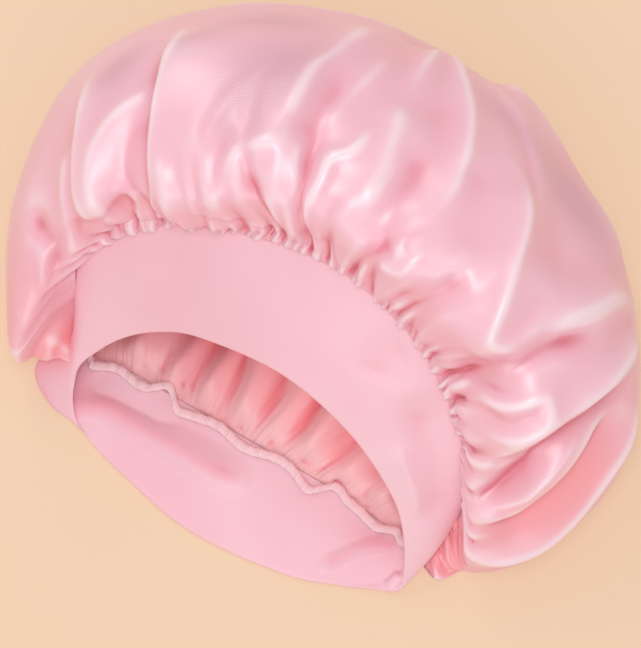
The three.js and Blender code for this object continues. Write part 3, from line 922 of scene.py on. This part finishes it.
def satin(name, roughness, pale, rose):
    """Satin cloth, glossy and gathered at the seam, with painted highlight on its swells and
    crests, painted shade in its hollows and creases, and painted coral bounce light and mauve
    painted shade in listed spots.
    """
    cloth = Material(
        name, roughness, IOR=SATIN_IOR, Specular_IOR_Level=0.7, Sheen_Weight=0.15,
        Sheen_Roughness=0.35,
    )
    # painted highlight on the swells and painted shade in the hollows
    colour = cloth.mix(cloth.spread(cloth.number("swell"), *SWELLS), rose, pale)
    # painted coral bounce light and shade in listed spots
    painted_bounce_shade = cloth.spread(cloth.number("painted_bounce_shade"), 0.0, 1.0, 0.0, PAINTED_BOUNCE)
    colour = cloth.mix(painted_bounce_shade, colour, CORAL_PINK)
    shade = cloth.spread(cloth.number("shade"), 0.0, 1.0)
    colour = cloth.mix(cloth.maths("MULTIPLY", shade, SHADE), colour, MAUVE_PINK)
    # painted highlight on the crests
    colour = cloth.mix(cloth.spread(cloth.number("crest"), *PAINTED_CREST_HIGHLIGHTS), colour, PAINTED_HIGHLIGHT_PINK)
    # painted shade in the creases
    colour = cloth.mix(cloth.spread(cloth.number("crest"), *PAINTED_CREASE_SHADE), colour, CREASE_SHADE_PINK)
    cloth.join(colour, cloth.shader.inputs["Base Color"])
    gathers = cloth.wrinkles(SATIN_WRINKLES)
    from_seam = cloth.number("from_seam")
    twill = cloth.maths("SINE", cloth.maths("MULTIPLY", from_seam, 2 * math.pi / TWILL_PITCH))
    height = cloth.maths("MULTIPLY", twill, shade)
    lines = cloth.bump(height, TWILL_STRENGTH, TWILL_DEPTH, gathers)
    cloth.join(cloth.grain(SATIN_GRAIN, lines), cloth.shader.inputs["Normal"])
    return cloth.material


def soft_cloth(name, roughness, pale, rose, form="swell", rosiest=SOFT_HOLLOW, wrinkles=0.0):
    """Duller cloth with broad soft changes of colour, and painted shade: rosier as its form nears
    a height, which is where its hollows lie, and in listed spots.
    """
    cloth = Material(name, roughness, Sheen_Weight=0.3, Sheen_Roughness=0.4)
    patches = cloth.spread(cloth.noise(PATCH_SCALE), *PATCH_EDGES)
    colour = cloth.mix(patches, cloth.mix(PATCH, pale, rose), pale)
    # painted shade, rosier in the hollows
    colour = cloth.mix(cloth.spread(cloth.number(form), rosiest / 10, rosiest), colour, rose)
    # painted shade in listed spots
    painted_bounce_shade = cloth.spread(cloth.number("painted_bounce_shade"), 0.0, 1.0, 0.0, SOFT_PAINTED_SHADE)
    colour = cloth.mix(painted_bounce_shade, colour, rose)
    cloth.join(colour, cloth.shader.inputs["Base Color"])
    gathers = cloth.wrinkles(wrinkles) if wrinkles else None
    cloth.join(cloth.grain(SOFT_GRAIN, gathers), cloth.shader.inputs["Normal"])
    return cloth.material


def make_floor():
    """The peach-coloured floor, partly lit from itself so that its tone is even."""
    half = FLOOR_SIZE / 2
    corners = [(-half, -half, 0), (half, -half, 0), (half, half, 0), (-half, half, 0)]
    mesh = bpy.data.meshes.new("floor")
    mesh.from_pydata(corners, [], [(0, 1, 2, 3)])
    floor = bpy.data.objects.new("floor", mesh)
    bpy.context.scene.collection.objects.link(floor)
    floor.location.z = -FLOOR_DROP
    paper = Material("floor_paper", 0.9, Specular_IOR_Level=0.1, Emission_Strength=FLOOR_GLOW)
    stops = zip(FLOOR_EDGES, (PEACH, PALE_PEACH))
    colour = paper.ramp(paper.noise(FLOOR_SCALE), *stops)
    paper.join(colour, paper.shader.inputs["Emission Color"])
    paper.join(paper.mix(FLOOR_DARKER, colour, BLACK), paper.shader.inputs["Base Color"])
    mesh.materials.append(paper.material)


def make_camera():
    """A camera that shows the mouth's lower rim where the photo has it."""
    azimuth = math.radians(CAMERA_AZIMUTH)
    elevation = math.radians(CAMERA_ELEVATION)
    back = Vector((
        math.sin(azimuth) * math.cos(elevation),
        -math.cos(azimuth) * math.cos(elevation),
        math.sin(elevation),
    ))
    right = Vector((math.cos(azimuth), math.sin(azimuth), 0))
    up = back.cross(right)
    distance = LENS / SENSOR * max(IMAGE) / PIXELS_PER_MM
    to_side = (RIM_PIXEL[0] - IMAGE[0] / 2) / PIXELS_PER_MM
    downwards = (RIM_PIXEL[1] - IMAGE[1] / 2) / PIXELS_PER_MM
    target = Vector(MOUTH) - right * to_side + up * downwards
    data = bpy.data.cameras.new("camera")
    data.lens = LENS
    data.sensor_width = SENSOR
    data.clip_end = FAR_CLIP
    camera = bpy.data.objects.new("camera", data)
    bpy.context.scene.collection.objects.link(camera)
    turned = Matrix((right, up, back)).transposed().to_4x4()
    camera.matrix_world = Matrix.Translation((target + back * distance) * MM) @ turned
    bpy.context.scene.camera = camera


def area_light(name, place, size, watts):
    """A rectangular light that shines on the bonnet."""
    data = bpy.data.lights.new(name, "AREA")
    data.energy = watts
    data.shape = "RECTANGLE"
    data.size, data.size_y = size
    light = bpy.data.objects.new(name, data)
    bpy.context.scene.collection.objects.link(light)
    light.location = place
    light.rotation_euler = (Vector(LIT_PLACE) - Vector(place)).to_track_quat("-Z", "Y").to_euler()


def light_scene():
    """The lights, the small warm one inside the crown, and the even light from all round."""
    for row in LIGHTS:
        area_light(*row)
    glow = bpy.data.lights.new("light_through_the_cloth", "POINT")
    glow.energy = GLOW_WATTS
    glow.color = GLOW_COLOUR
    glow.shadow_soft_size = GLOW_RADIUS
    inside = bpy.data.objects.new("light_through_the_cloth", glow)
    bpy.context.scene.collection.objects.link(inside)
    inside.location = (MOUTH + GLOW_PLACE) * MM
    world = bpy.data.worlds.new("studio")
    world.use_nodes = True
    bpy.context.scene.world = world
    background = world.node_tree.nodes["Background"]
    background.inputs["Color"].default_value = SKY_COLOUR
    background.inputs["Strength"].default_value = SKY_STRENGTH
    bpy.context.scene.view_settings.view_transform = "Standard"


make_camera()
light_scene()
make_floor()

crown = make_crown()
# the crown's satin, with painted highlight and shade
crown.data.materials.append(satin("crown_satin", 0.32, PALE_PINK, ROSE_PINK))
# the crown's back, with painted shade in its inner hollows
crown.data.materials.append(soft_cloth(
    "crown_satin_back", 0.42, INNER_PALE, INNER_ROSE, "crest", INNER_CREST, INNER_WRINKLES,
))
band = make_band()
# the band, with painted shade in its hollows and in listed spots
band.data.materials.append(soft_cloth("band_satin", 0.5, BAND_PALE, BAND_ROSE))
elastic = make_elastic()
elastic.data.materials.append(soft_cloth("elastic_cloth", 0.8, THREAD_PINK, THREAD_ROSE))
thread = make_thread()
thread.data.materials.append(soft_cloth("thread", 0.7, THREAD_PINK, THREAD_PINK))

for piece, slot in (
    (crown, "crown_satin"), (band, "band_satin"), (elastic, "elastic"), (thread, "elastic"),
):
    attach(piece, "root")
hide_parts("crown")
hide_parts("band")
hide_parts("seam_elastic")
